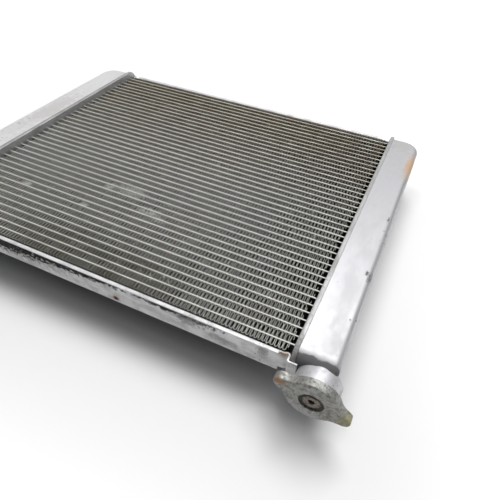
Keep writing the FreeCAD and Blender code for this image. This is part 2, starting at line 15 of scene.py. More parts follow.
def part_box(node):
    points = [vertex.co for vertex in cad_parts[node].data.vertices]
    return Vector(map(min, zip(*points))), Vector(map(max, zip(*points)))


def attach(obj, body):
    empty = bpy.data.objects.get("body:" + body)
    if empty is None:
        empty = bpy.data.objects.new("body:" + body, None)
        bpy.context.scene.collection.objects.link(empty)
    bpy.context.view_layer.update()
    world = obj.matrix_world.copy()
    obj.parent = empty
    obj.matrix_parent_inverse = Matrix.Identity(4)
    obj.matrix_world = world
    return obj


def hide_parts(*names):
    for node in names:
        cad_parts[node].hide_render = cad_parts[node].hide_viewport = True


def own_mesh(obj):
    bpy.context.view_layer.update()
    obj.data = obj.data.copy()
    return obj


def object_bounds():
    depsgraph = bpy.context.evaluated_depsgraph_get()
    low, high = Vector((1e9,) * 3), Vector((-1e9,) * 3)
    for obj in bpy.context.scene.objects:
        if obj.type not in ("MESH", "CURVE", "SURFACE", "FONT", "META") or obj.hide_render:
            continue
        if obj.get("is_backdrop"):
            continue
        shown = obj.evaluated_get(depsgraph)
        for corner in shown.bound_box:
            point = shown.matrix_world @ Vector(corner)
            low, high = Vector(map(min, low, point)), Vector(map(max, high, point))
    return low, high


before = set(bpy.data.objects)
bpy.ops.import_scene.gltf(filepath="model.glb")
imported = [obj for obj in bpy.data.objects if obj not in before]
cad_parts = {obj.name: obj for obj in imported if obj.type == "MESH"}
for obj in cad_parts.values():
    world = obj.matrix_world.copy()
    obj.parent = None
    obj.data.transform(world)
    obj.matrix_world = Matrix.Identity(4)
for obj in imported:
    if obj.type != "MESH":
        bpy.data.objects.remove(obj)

CAD_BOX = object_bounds()
MM = 0.001
LOG = logging.getLogger("radiator")

Place = tuple[float, float, float]
Colour = tuple[float, float, float]
Socket = bpy.types.NodeSocket
Value = Union[Socket, float, Place]


class Body(Enum):
    """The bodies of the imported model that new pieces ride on."""

    RADIATOR = "radiator"
    CAP = "cap"


class Slot(Enum):
    """The material slots of the record; no new piece here uses them."""

    FIN = "fin_aluminium"
    SPRING = "spring_steel"


# Materials


class Graph:
    """Short calls for wiring one material's nodes."""

    def __init__(self, material: Union[bpy.types.Material, bpy.types.World]) -> None:
        """Clear the material's tree and read the object's own coordinates.

        Args:
            material: The material or world to wire.
        """
        material.use_nodes = True
        self.tree = material.node_tree
        self.tree.nodes.clear()
        self.place = self.node("ShaderNodeTexCoord").outputs["Object"]

    def node(self, kind: str, **settings: object) -> bpy.types.Node:
        """Add a node.

        Args:
            kind: The node's Blender type.
            **settings: Attributes to set on it.

        Returns:
            The new node.
        """
        made = self.tree.nodes.new(kind)
        for name, value in settings.items():
            setattr(made, name, value)
        return made

    def feed(self, socket: Socket, value: Value) -> None:
        """Link a socket to another one, or give it a constant.

        Args:
            socket: The input to fill.
            value: An output socket or a constant.
        """
        if isinstance(value, bpy.types.NodeSocket):
            self.tree.links.new(value, socket)
        elif socket.type == "RGBA":
            socket.default_value = (*value, 1.0)
        else:
            socket.default_value = value

    def maths(self, operation: str, first: Value, second: Value = 0.0, clamp: bool = False) -> Socket:
        """Join two numbers with one operation.

        Args:
            operation: The Math node's operation.
            first: The first number.
            second: The second number.
            clamp: Whether the result stays from 0 to 1.

        Returns:
            The result's socket.
        """
        made = self.node("ShaderNodeMath", operation=operation, use_clamp=clamp)
        self.feed(made.inputs[0], first)
        self.feed(made.inputs[1], second)
        return made.outputs[0]

    def vector(self, operation: str, first: Value, second: Value) -> bpy.types.Node:
        """Join two vectors with one operation.

        Args:
            operation: The Vector Math node's operation.
            first: The first vector.
            second: The second vector.

        Returns:
            The node, whose outputs are Vector and Value.
        """
        made = self.node("ShaderNodeVectorMath", operation=operation)
        self.feed(made.inputs[0], first)
        self.feed(made.inputs[1], second)
        return made

    def noise(self, size: Place, detail: float = 3.0, rough: float = 0.5) -> Socket:
        """Make soft noise.

        Args:
            size: The grain's size along X, Y and Z in millimetres.
            detail: How many finer layers it has.
            rough: How strong the finer layers are.

        Returns:
            The noise, about 0.2 to 0.8.
        """
        scale = tuple(1.0 / (MM * length) for length in size)
        where = self.vector("MULTIPLY", self.place, scale).outputs["Vector"]
        made = self.node("ShaderNodeTexNoise")
        self.feed(made.inputs["Vector"], where)
        made.inputs["Scale"].default_value = 1.0
        made.inputs["Detail"].default_value = detail
        made.inputs["Roughness"].default_value = rough
        return made.outputs["Fac"]

    def flecks(self, size: Place) -> Socket:
        """Measure how far each point is from the nearest of many scattered flecks.

        Args:
            size: The spacing of the flecks in millimetres.

        Returns:
            The distance, 0 at a fleck's centre.
        """
        scale = tuple(1.0 / (MM * length) for length in size)
        where = self.vector("MULTIPLY", self.place, scale).outputs["Vector"]
        made = self.node("ShaderNodeTexVoronoi")
        self.feed(made.inputs["Vector"], where)
        made.inputs["Scale"].default_value = 1.0
        return made.outputs["Distance"]

    def ramp(self, value: Value, low: float, high: float, start: float = 0.0, end: float = 1.0) -> Socket:
        """Map a range onto another one with soft ends.

        Args:
            value: The number to map.
            low: Where the range starts.
            high: Where it ends.
            start: The result at low.
            end: The result at high.

        Returns:
            The mapped number.
        """
        made = self.node("ShaderNodeMapRange", interpolation_type="SMOOTHSTEP")
        for socket, number in zip(made.inputs, (value, low, high, start, end)):
            self.feed(socket, number)
        return made.outputs["Result"]

    def mix(self, share: Value, first: Value, second: Value) -> Socket:
        """Blend two colours.

        Args:
            share: How much of the second one.
            first: The first colour.
            second: The second colour.

        Returns:
            The blended colour.
        """
        made = self.node("ShaderNodeMix", data_type="RGBA")
        # the colour sockets come after those for numbers and vectors
        self.feed(made.inputs["Factor"], share)
        self.feed(made.inputs[6], first)
        self.feed(made.inputs[7], second)
        return made.outputs[2]

    def axis(self, name: str) -> Socket:
        """Read one coordinate in metres.

        Args:
            name: X, Y or Z.

        Returns:
            The coordinate's socket.
        """
        made = self.node("ShaderNodeSeparateXYZ")
        self.feed(made.inputs[0], self.place)
        return made.outputs[name]

    def bump(self, height: Socket, depth: float, under: Optional[Socket] = None) -> Socket:
        """Raise the surface a little.

        Args:
            height: The height, 0 to 1.
            depth: The height of 1 in millimetres.
            under: A bump to lay this one on.

        Returns:
            The new normal.
        """
        made = self.node("ShaderNodeBump")
        made.inputs["Distance"].default_value = depth * MM
        self.feed(made.inputs["Height"], height)
        if under is not None:
            self.feed(made.inputs["Normal"], under)
        return made.outputs["Normal"]

    def spot(self, mark: "Mark") -> Socket:
        """Mask a patch of wear, dirt, rust, painted shade or painted highlight with a ragged edge.

        Args:
            mark: The patch.

        Returns:
            The mask, 1 at the patch's middle.
        """
        centre = tuple(length * MM for length in mark.place)
        from_centre = self.vector("SUBTRACT", self.place, centre).outputs["Vector"]
        reach = tuple(1.0 / (MM * mark.reach * side) for side in mark.stretch)
        scaled = self.vector("MULTIPLY", from_centre, reach).outputs["Vector"]
        far = self.vector("LENGTH", scaled, (0.0, 0.0, 0.0)).outputs["Value"]
        ragged = self.noise((mark.grain,) * 3, 5.0, 0.65)
        push = 2.4 * mark.ragged
        pushed = self.maths("MULTIPLY_ADD", ragged, push)
        self.feed(pushed.node.inputs[2], far)
        # the noise is 0.5 on average, so half of its push is taken back
        inner = push / 2
        top, blur = mark.ceiling * MM, 0.2 * MM
        below = self.ramp(self.axis("Z"), top + blur, top - blur, 0.0, mark.strength)
        return self.maths("MULTIPLY", self.ramp(pushed, inner + 1.0, inner + mark.core), below)


@dataclass(frozen=True)
class Mark:
    """A patch of wear, dirt, rust, painted shade or painted highlight at one place.

    Attributes:
        place: The middle of the patch in millimetres.
        reach: How far it spreads, in millimetres.
        tint: Its colour.
        strength: How much of the surface it covers.
        stretch: How much longer it is along X, Y and Z.
        grain: The size of its ragged edge in millimetres.
        ragged: How ragged it is.
        core: Where the full strength starts, as a share of the reach.
        ceiling: The height in millimetres above which there is none of it.
    """

    place: Place
    reach: float
    tint: Colour
    strength: float = 0.9
    stretch: Place = (1.0, 1.0, 1.0)
    grain: float = 3.0
    ragged: float = 1.0
    core: float = 0.3
    ceiling: float = 1000.0


@dataclass(frozen=True)
class MetalFinish:
    """A rolled or plated metal surface with grain, stains, wear and patches of painted shade.

    Attributes:
        name: The material's name.
        colour: The clean metal's colour.
        dull: The colour of its stained parts.
        smooth: The roughness of its shiniest parts.
        coarse: The roughness of its dullest parts.
        grain: The rolling grain's size in millimetres.
        grain_depth: The grain's height in millimetres.
        cloud: The size of the stains in millimetres.
        metallic: How metallic the surface is.
        speckle: How far the dark specks spread, 0 to 1.
        speck_tint: The specks' colour.
        speck_size: The specks' spacing in millimetres.
        marks: Patches of wear, dirt and painted shade at known places.
    """

    name: str
    colour: Colour
    dull: Colour
    smooth: float = 0.3
    coarse: float = 0.5
    grain: Place = (40.0, 0.5, 0.5)
    grain_depth: float = 0.01
    cloud: Place = (40.0, 40.0, 40.0)
    metallic: float = 0.9
    speckle: float = 0.2
    speck_tint: Colour = (0.12, 0.11, 0.09)
    speck_size: float = 3.0
    marks: tuple[Mark, ...] = ()

    def material(self) -> bpy.types.Material:
        """Build the finish, or return it if it exists.

        Returns:
            The material.
        """
        known = bpy.data.materials.get(self.name)
        if known:
            return known
        made = bpy.data.materials.new(self.name)
        graph = Graph(made)
        clouds = graph.ramp(graph.noise(self.cloud, 5.0, 0.6), 0.38, 0.68)
        grain = graph.noise(self.grain, 3.0, 0.6)
        pits = graph.noise((0.8, 0.8, 0.8), 2.0)
        colour = graph.mix(clouds, self.colour, self.dull)
        streaks = graph.ramp(grain, 0.3, 0.7, 0.0, 0.18)
        colour = graph.mix(streaks, colour, self.dull)
        near = graph.ramp(graph.flecks((self.speck_size,) * 3), 0.28, 0.14)
        where = graph.ramp(graph.noise((22.0, 22.0, 22.0), 3.0), 0.64 - 0.3 * self.speckle, 0.7)
        specks = graph.maths("MULTIPLY", near, where)
        colour = graph.mix(specks, colour, self.speck_tint)
        rough = graph.maths("MULTIPLY_ADD", specks, 0.3)
        graph.feed(rough.node.inputs[2], graph.ramp(clouds, 0.0, 1.0, self.smooth, self.coarse))
        metallic = graph.maths("SUBTRACT", self.metallic, graph.maths("MULTIPLY", specks, 0.5), True)
        for mark in self.marks:
            mask = graph.spot(mark)
            colour = graph.mix(mask, colour, mark.tint)
            rough = graph.maths("ADD", rough, graph.maths("MULTIPLY", mask, 0.3), True)
            metallic = graph.maths("SUBTRACT", metallic, graph.maths("MULTIPLY", mask, 0.7), True)
        normal = graph.bump(grain, self.grain_depth, graph.bump(pits, 0.6 * self.grain_depth))
        finish_shader(graph, colour, metallic, rough, normal)
        return made


def finish_shader(graph: Graph, colour: Value, metallic: Value, rough: Value,
                  normal: Optional[Socket] = None) -> None:
    """Close a material with its surface shader.

    Args:
        graph: The material's graph.
        colour: The base colour.
        metallic: How metallic it is.
        rough: Its roughness.
        normal: Its bumped normal.
    """
    shader = graph.node("ShaderNodeBsdfPrincipled")
    graph.feed(shader.inputs["Base Color"], colour)
    graph.feed(shader.inputs["Metallic"], metallic)
    graph.feed(shader.inputs["Roughness"], rough)
    if normal is not None:
        graph.feed(shader.inputs["Normal"], normal)
    out = graph.node("ShaderNodeOutputMaterial")
    graph.feed(out.inputs["Surface"], shader.outputs[0])


@dataclass(frozen=True)
class CoreFinish:
    """Dirty foil and tube edges in the core, which carry the same grime and the same painted shade below their
    upper edges.

    Attributes:
        name: The material's name.
        colour: The clean metal's colour.
        grey: The colour of the dull greenish film.
        olive: The colour of the dirt in the nearest rows.
        rust: The colour of the rust in the far right rows.
        brown: The colour of the brown tone that grows towards the far rows.
        shade: The colour that the rows darken to at the right.
        film: How much of the film there is.
        smooth: The roughness where it is clean.
        louvre_pitch: The spacing of the louvres in millimetres, 0 for none.
        bright_above: The height in millimetres above which it keeps its own colour, with no painted shade.
        dark_below: The height below which it is darkened by painted shade and dirt.
        deep: The colour of that painted shade and dirt down there.
        grime: How much of the rust and olive dirt there is.
        marks: Patches of bent foil, lightened with a painted highlight.
        nick: The colour of the small nicks, which only a core with marks has.
    """

    name: str
    colour: Colour
    grey: Colour = (0.30, 0.31, 0.26)
    olive: Colour = (0.26, 0.23, 0.13)
    rust: Colour = (0.24, 0.15, 0.08)
    brown: Colour = (0.40, 0.29, 0.17)
    # shade: The colour of the painted shade that the rows darken to at the right.
    shade: Colour = (0.22, 0.22, 0.20)
    film: float = 0.6
    smooth: float = 0.38
    louvre_pitch: float = 0.0
    bright_above: float = 71.1
    dark_below: float = 70.4
    deep: Colour = (0.02, 0.02, 0.018)
    grime: float = 1.0
    marks: tuple[Mark, ...] = ()
    nick: Colour = (0.86, 0.87, 0.83)

    def rusty(self, graph: Graph, patchy: Socket) -> Socket:
        """Mask the rust, which is strongest in the far right corner.

        Args:
            graph: The material's graph.
            patchy: The noise that breaks the dirt up.

        Returns:
            The mask.
        """
        far = graph.ramp(graph.axis("Y"), 0.02, 0.22)
        right = graph.ramp(graph.axis("X"), -0.05, 0.24)
        corner = graph.ramp(graph.maths("ADD", far, right), 0.7, 1.9)
        return graph.maths("MULTIPLY", corner, graph.ramp(patchy, 0.35, 0.6))

    def tinted(self, graph: Graph, colour: Socket, patchy: Socket) -> Socket:
        """Lay the olive dirt, the brown tone and the painted shade of the right rows on a colour.

        Args:
            graph: The material's graph.
            colour: The colour under them.
            patchy: The noise that breaks the dirt up.

        Returns:
            The dirty colour.
        """
        across = graph.axis("X")
        along = graph.axis("Y")
        left = graph.ramp(across, -0.16, -0.04, 0.3, 1.0)
        middle = graph.maths("MULTIPLY", graph.ramp(across, 0.13, 0.03), left)
        near_rows = graph.maths("MULTIPLY", graph.ramp(along, -0.11, -0.18), middle)
        dirt = graph.ramp(patchy, 0.3, 0.7, 0.3 * self.grime, 0.7 * self.grime)
        colour = graph.mix(graph.maths("MULTIPLY", near_rows, dirt), colour, self.olive)
        far_rows = graph.ramp(along, -0.04, 0.2, 0.0, 0.9 * self.grime)
        broken = graph.ramp(patchy, 0.25, 0.6, 0.55, 1.0)
        colour = graph.mix(graph.maths("MULTIPLY", far_rows, broken), colour, self.brown)
        # painted shade: the rows darken towards the right
        return graph.mix(graph.ramp(across, 0.02, 0.22, 0.0, 0.3), colour, self.shade)

    def highlighted_and_nicked(self, graph: Graph, colour: Socket) -> Socket:
        """Lay the painted highlight of the bent patches and the small bright nicks on a colour.

        Args:
            graph: The material's graph.
            colour: The colour under them.

        Returns:
            The colour with the bare metal.
        """
        # painted highlight: the bent patches are lightened
        for mark in self.marks:
            colour = graph.mix(graph.spot(mark), colour, mark.tint)
        if not self.marks:
            return colour
        nicks = graph.ramp(graph.flecks((7.0, 5.0, 60.0)), 0.24, 0.12)
        where = graph.ramp(graph.noise((40.0, 30.0, 60.0), 3.0), 0.46, 0.62, 0.0, 0.7)
        return graph.mix(graph.maths("MULTIPLY", nicks, where), colour, self.nick)

    def material(self) -> bpy.types.Material:
        """Build the finish, or return it if it exists.

        Returns:
            The material.
        """
        known = bpy.data.materials.get(self.name)
        if known:
            return known
        made = bpy.data.materials.new(self.name)
        graph = Graph(made)
        patchy = graph.noise((26.0, 12.0, 60.0), 5.0, 0.65)
        fine = graph.noise((2.2, 2.2, 2.2), 3.0, 0.6)
        mottled = graph.maths("ADD", patchy, graph.maths("MULTIPLY", fine, 0.5))
        film = graph.maths("MULTIPLY", graph.ramp(mottled, 0.55, 1.0), self.film)
        colour = graph.mix(film, self.colour, self.grey)
        rusty = self.rusty(graph, patchy)
        colour = graph.mix(graph.maths("MULTIPLY", rusty, 0.75 * self.grime), colour, self.rust)
        colour = self.tinted(graph, colour, patchy)
        # painted shade and dirt: darker below the upper edge, down between the fins and on the tube sides
        down = graph.ramp(graph.axis("Z"), self.bright_above * MM, self.dark_below * MM)
        colour = self.highlighted_and_nicked(graph, graph.mix(down, colour, self.deep))
        dirt = graph.maths("ADD", graph.maths("MULTIPLY", film, 0.5), graph.maths("MULTIPLY", rusty, 0.4))
        dull = graph.maths("ADD", dirt, graph.maths("MULTIPLY", down, 0.3))
        metallic = graph.maths("SUBTRACT", 0.32, dull, True)
        rough = graph.ramp(film, 0.0, 1.0, self.smooth, 0.7)
        normal = graph.bump(fine, 0.03)
        if self.louvre_pitch:
            slats = graph.node("ShaderNodeTexWave", wave_type="BANDS", bands_direction="Z")
            graph.feed(slats.inputs["Vector"], graph.place)
            # the wave node repeats every pi / 10 of its scaled coordinate
            slats.inputs["Scale"].default_value = math.pi / 10.0 / (self.louvre_pitch * MM)
            normal = graph.bump(slats.outputs["Fac"], 0.25, normal)
        finish_shader(graph, colour, metallic, rough, normal)
        return made


@dataclass(frozen=True)
class RubberFinish:
    """Matt black rubber with a pale bloom.

    Attributes:
        name: The material's name.
        colour: The rubber's colour.
        bloom: The bloom's colour.
    """

    name: str = "seal rubber"
    colour: Colour = (0.025, 0.025, 0.027)
    bloom: Colour = (0.07, 0.07, 0.068)

    def material(self) -> bpy.types.Material:
        """Build the finish, or return it if it exists.

        Returns:
            The material.
        """
        known = bpy.data.materials.get(self.name)
        if known:
            return known
        made = bpy.data.materials.new(self.name)
        graph = Graph(made)
        grain = graph.noise((0.4, 0.4, 0.4), 3.0)
        bloom = graph.ramp(graph.noise((3.0, 3.0, 3.0), 4.0), 0.4, 0.7, 0.0, 0.3)
        colour = graph.mix(bloom, self.colour, self.bloom)
        finish_shader(graph, colour, 0.0, graph.ramp(bloom, 0.0, 0.3, 0.55, 0.8), graph.bump(grain, 0.02))
        return made


Finish = Union[MetalFinish, CoreFinish, RubberFinish]


def dress(names: Iterable[str], finish: Finish) -> None:
    """Give CAD nodes a finish.

    Args:
        names: The nodes.
        finish: Their finish.
    """
    for name in names:
        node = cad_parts[name]
        material = finish.material()
        if not node.material_slots:
            node.data.materials.append(material)
        for held in node.material_slots:
            held.material = material
        LOG.info("%s has %s", name, finish.name)


def new_piece(name: str, points: list[Vector], faces: list[tuple[int, ...]], finish: Finish,
              smooth_angle: float) -> bpy.types.Object:
    """Make a mesh piece in the row frame.

    Args:
        name: The piece's name.
        points: Its corners in metres.
        faces: Its faces.
        finish: Its finish.
        smooth_angle: Edges sharper than this many degrees stay sharp, 0 for flat faces.

    Returns:
        The new object.
    """
    mesh = bpy.data.meshes.new(name)
    mesh.from_pydata([tuple(point) for point in points], [], faces)
    if smooth_angle:
        mesh.polygons.foreach_set("use_smooth", [True] * len(mesh.polygons))
        mesh.set_sharp_from_angle(angle=math.radians(smooth_angle))
    mesh.materials.append(finish.material())
    made = bpy.data.objects.new(name, mesh)
    bpy.context.scene.collection.objects.link(made)
    return made


# Finishes of this radiator

SCUFF = (0.045, 0.042, 0.038)
BLACK = (0.018, 0.017, 0.016)
RUST = (0.36, 0.13, 0.035)
# painted highlight colour of the bent foil in the dents
BENT_FOIL_HIGHLIGHT = (0.86, 0.87, 0.83)
TANK_ALUMINIUM = MetalFinish(
    name="tank aluminium", colour=(0.62, 0.62, 0.64), dull=(0.54, 0.54, 0.555), smooth=0.48, coarse=0.58,
    grain=(0.9, 60.0, 0.9), grain_depth=0.006, cloud=(26.0, 60.0, 30.0), metallic=0.68, speckle=0.12,
    speck_tint=(0.30, 0.29, 0.27), speck_size=5.0, marks=(
        Mark((258.0, 144.0, 80.0), 24.0, (0.62, 0.38, 0.20), strength=0.75, stretch=(0.35, 1.6, 1.0)),
        Mark((258.5, -82.0, 78.0), 8.0, SCUFF, strength=0.7, stretch=(0.35, 1.4, 1.0), grain=1.6,
             ragged=1.6),
        Mark((254.6, -78.0, 81.0), 4.0, SCUFF, strength=0.75, stretch=(0.4, 1.4, 1.0), grain=1.6,
             ragged=0.8),
        Mark((256.5, 17.0, 81.0), 4.0, SCUFF, strength=0.7, stretch=(0.5, 1.4, 1.0), grain=2.0),
        # painted shade: a near-black patch over the tank's near end face, where the neck and cap shade it
        Mark((240.0, -201.0, 58.0), 60.0, (0.09, 0.09, 0.095), strength=0.92, stretch=(1.0, 0.14, 1.0),
             grain=8.0, ragged=0.3, core=0.8),
        # painted shade: a faint darker patch on the tank's top at its near end, toning down the lamp's highlight
        # there
        Mark((243.0, -186.0, 81.0), 52.0, (0.46, 0.46, 0.475), strength=0.16, stretch=(1.0, 1.0, 0.3),
             grain=9.0, ragged=0.4, core=0.3),
        Mark((240.0, 196.0, 80.0), 34.0, (0.42, 0.41, 0.39), strength=0.5, stretch=(0.9, 1.0, 1.0),
             grain=6.0)))
# painted light: a lighter, less metallic copy of the tank metal, for the left tank, which is the same metal as
# the right one
LEFT_TANK_PAINTED_LIGHTER = replace(
    TANK_ALUMINIUM, name="left tank aluminium painted lighter", colour=(0.93, 0.92, 0.925), dull=(0.82, 0.805, 0.805),
    metallic=0.5, marks=(
        Mark((-262.0, 40.0, 81.0), 60.0, (0.50, 0.48, 0.465), strength=0.5, stretch=(0.4, 1.6, 1.0),
             grain=9.0, ragged=0.8),))
HEADER_ALUMINIUM = MetalFinish(
    name="header aluminium", colour=(0.54, 0.54, 0.545), dull=(0.38, 0.375, 0.37), smooth=0.5,
    coarse=0.66, grain=(0.7, 6.0, 0.7), grain_depth=0.02, cloud=(8.0, 30.0, 8.0), metallic=0.5,
    speckle=0.6, speck_tint=(0.13, 0.12, 0.095), speck_size=3.0, marks=(
        # painted shade: a darker patch on the header's near end, where it rounds down into shade
        Mark((228.0, -194.0, 79.0), 16.0, (0.20, 0.195, 0.18), strength=0.6, stretch=(1.0, 1.4, 1.0),
             grain=2.4, ragged=1.4),))
SIDE_ALUMINIUM = MetalFinish(
    name="side aluminium", colour=(0.88, 0.88, 0.88), dull=(0.66, 0.655, 0.65), smooth=0.58, coarse=0.7,
    grain=(50.0, 0.7, 0.7), grain_depth=0.012, cloud=(16.0, 12.0, 9.0), metallic=0.4, speckle=0.3,
    speck_tint=(0.16, 0.14, 0.12), speck_size=3.5, marks=(
        Mark((-95.0, -196.0, 55.0), 45.0, (0.30, 0.295, 0.29), strength=0.3, stretch=(1.5, 1.0, 0.28),
             grain=5.0, ragged=1.8, core=0.5),
        Mark((-118.0, -196.0, 62.0), 52.0, BLACK, strength=0.97, stretch=(1.3, 1.0, 0.20), grain=3.2,
             ragged=1.5, core=0.85, ceiling=69.6),
        Mark((-50.0, -196.0, 64.5), 50.0, BLACK, strength=0.97, stretch=(1.2, 1.0, 0.15), grain=3.2,
             ragged=1.5, core=0.85, ceiling=69.6),
        Mark((6.0, -196.0, 66.0), 32.0, BLACK, strength=0.96, stretch=(1.2, 1.0, 0.18), grain=2.6,
             ragged=1.6, core=0.85, ceiling=69.6),
        Mark((86.0, -196.0, 66.0), 28.0, BLACK, strength=0.97, stretch=(1.2, 1.0, 0.22), grain=3.0,
             ragged=1.3, core=0.85, ceiling=69.6),
        Mark((124.0, -196.0, 65.0), 18.0, SCUFF, strength=0.9, stretch=(1.3, 1.0, 0.3), grain=2.4,
             ragged=1.9, core=0.8, ceiling=69.6),
        Mark((112.0, -196.0, 58.0), 14.0, (0.24, 0.23, 0.22), strength=0.55, stretch=(1.1, 1.0, 0.5),
             grain=3.0, ragged=1.8, core=0.6),
        Mark((192.0, -196.0, 59.0), 8.0, (0.24, 0.21, 0.20), strength=0.5, stretch=(0.8, 1.0, 1.2),
             grain=2.0, ragged=1.6, core=0.6),
        Mark((27.0, -196.0, 45.5), 4.6, RUST, strength=0.95, stretch=(1.3, 1.0, 0.9), grain=1.5,
             ragged=0.5),
        Mark((211.0, -192.0, 68.0), 7.0, (0.50, 0.33, 0.18), strength=0.75, stretch=(1.0, 1.5, 0.8),
             grain=1.5, ragged=0.7),
        Mark((150.0, -196.0, 50.0), 14.0, (0.20, 0.19, 0.18), strength=0.4, stretch=(1.5, 1.0, 0.5),
             grain=3.0, ragged=1.3)))
RAIL_ALUMINIUM = MetalFinish(
    name="rail aluminium", colour=(0.68, 0.68, 0.70), dull=(0.50, 0.50, 0.51), smooth=0.35, coarse=0.52,
    grain=(0.8, 40.0, 0.8), grain_depth=0.012, cloud=(30.0, 50.0, 20.0), metallic=0.88, speckle=0.3)
PIPE_ALUMINIUM = MetalFinish(
    name="pipe aluminium", colour=(0.76, 0.76, 0.78), dull=(0.62, 0.62, 0.64), smooth=0.3, coarse=0.45,
    grain=(1.0, 1.0, 12.0), grain_depth=0.01, cloud=(14.0, 14.0, 14.0), metallic=0.86, speckle=0.15)
NECK_ALUMINIUM = MetalFinish(
    name="neck aluminium", colour=(0.66, 0.655, 0.68), dull=(0.54, 0.535, 0.555), smooth=0.52,
    coarse=0.64, grain=(14.0, 1.2, 14.0), grain_depth=0.012, cloud=(9.0, 9.0, 9.0), metallic=0.55,
    speckle=0.25, speck_tint=(0.22, 0.20, 0.18), speck_size=3.0)
CAP_ZINC = MetalFinish(
    name="cap zinc", colour=(0.38, 0.378, 0.358), dull=(0.19, 0.185, 0.165), smooth=0.46, coarse=0.62,
    grain=(1.4, 1.4, 1.4), grain_depth=0.03, cloud=(3.0, 3.0, 3.0), metallic=0.5, speckle=0.7,
    speck_tint=(0.09, 0.085, 0.065), speck_size=1.8, marks=(
        Mark((240.0, -223.5, 34.0), 17.0, (0.66, 0.65, 0.62), strength=0.7, stretch=(1.4, 1.0, 0.8),
             grain=1.4, ragged=2.2, core=0.7),
        Mark((259.0, -220.0, 86.0), 12.0, (0.66, 0.66, 0.65), strength=0.7, stretch=(1.6, 1.0, 0.6),
             grain=2.0, ragged=1.0),
        Mark((248.3, -222.0, 58.0), 12.4, (0.06, 0.055, 0.045), strength=0.85, grain=1.0, ragged=0.1,
             core=0.85),
        Mark((218.0, -223.5, 70.5), 6.0, (0.45, 0.22, 0.08), strength=0.85, stretch=(1.4, 1.0, 0.7),
             grain=1.5, ragged=0.7),
        Mark((279.0, -222.0, 52.0), 10.0, (0.46, 0.43, 0.18), strength=0.6, stretch=(1.0, 1.0, 1.0),
             grain=2.0)))
RIVET_STEEL = MetalFinish(
    name="rivet steel", colour=(0.21, 0.185, 0.16), dull=(0.12, 0.10, 0.08), smooth=0.4, coarse=0.6,
    grain=(0.8, 0.8, 0.8), grain_depth=0.02, cloud=(3.0, 3.0, 3.0), metallic=0.8, speckle=0.4,
    speck_tint=(0.08, 0.06, 0.04), speck_size=1.6)
SPRING_STEEL = MetalFinish(
    name="spring steel", colour=(0.48, 0.47, 0.45), dull=(0.30, 0.28, 0.24), smooth=0.25, coarse=0.45,
    grain=(0.6, 0.6, 0.6), grain_depth=0.01, cloud=(4.0, 4.0, 4.0), metallic=0.95, speckle=0.2)
VALVE_BRASS = MetalFinish(
    name="valve brass", colour=(0.66, 0.50, 0.24), dull=(0.44, 0.32, 0.16), smooth=0.25, coarse=0.45,
    grain=(0.6, 0.6, 0.6), grain_depth=0.01, cloud=(4.0, 4.0, 4.0), metallic=0.95, speckle=0.2,
    speck_tint=(0.16, 0.11, 0.05))
FIN_FOIL = CoreFinish(
    name="fin foil", colour=(1.0, 1.0, 0.95), film=0.28, louvre_pitch=1.3, marks=(
        # painted highlight: lighter patches over the dents, where the bent foil would render dark
        Mark((-168.0, -109.0, 71.0), 7.0, BENT_FOIL_HIGHLIGHT, strength=0.9, stretch=(1.3, 0.8, 1.0), grain=1.6,
             ragged=1.2, core=0.5),
        Mark((-79.0, -111.5, 71.0), 6.0, BENT_FOIL_HIGHLIGHT, strength=0.9, stretch=(1.2, 0.8, 1.0), grain=1.6,
             ragged=1.2, core=0.5),
        Mark((-74.0, -66.0, 71.0), 8.0, BENT_FOIL_HIGHLIGHT, strength=0.9, stretch=(1.0, 1.0, 1.0), grain=1.6,
             ragged=1.2, core=0.5),
        Mark((-44.0, -64.0, 71.0), 16.0, BENT_FOIL_HIGHLIGHT, strength=0.75, stretch=(1.6, 0.7, 1.0), grain=2.2,
             ragged=1.6, core=0.4),
        Mark((-3.0, -86.0, 71.0), 12.0, BENT_FOIL_HIGHLIGHT, strength=0.85, stretch=(1.8, 0.6, 1.0), grain=2.0,
             ragged=1.3, core=0.5),
        Mark((16.0, -94.0, 71.0), 8.0, BENT_FOIL_HIGHLIGHT, strength=0.8, stretch=(1.4, 0.6, 1.0), grain=2.0, ragged=1.3,
             core=0.5)))
# painted shade on the tube sides, from bright_above down to dark_below, narrows their bright upper line
TUBE_SKIN = CoreFinish(
    name="tube skin", colour=(0.91, 0.955, 0.86), film=0.25, smooth=0.42, bright_above=71.3,
    dark_below=70.9, grime=0.35)


# The radiator


def drift(scale: Place, first: float, second: float) -> float:
    """Read a soft wandering number.

    Args:
        scale: How fast it changes with each of the two places, and the noise's layer.
        first: The first place.
        second: The second place.

    Returns:
        The number, about -0.5 to 0.5.
    """
    return noise.noise(Vector((first * scale[0], second * scale[1], scale[2])))


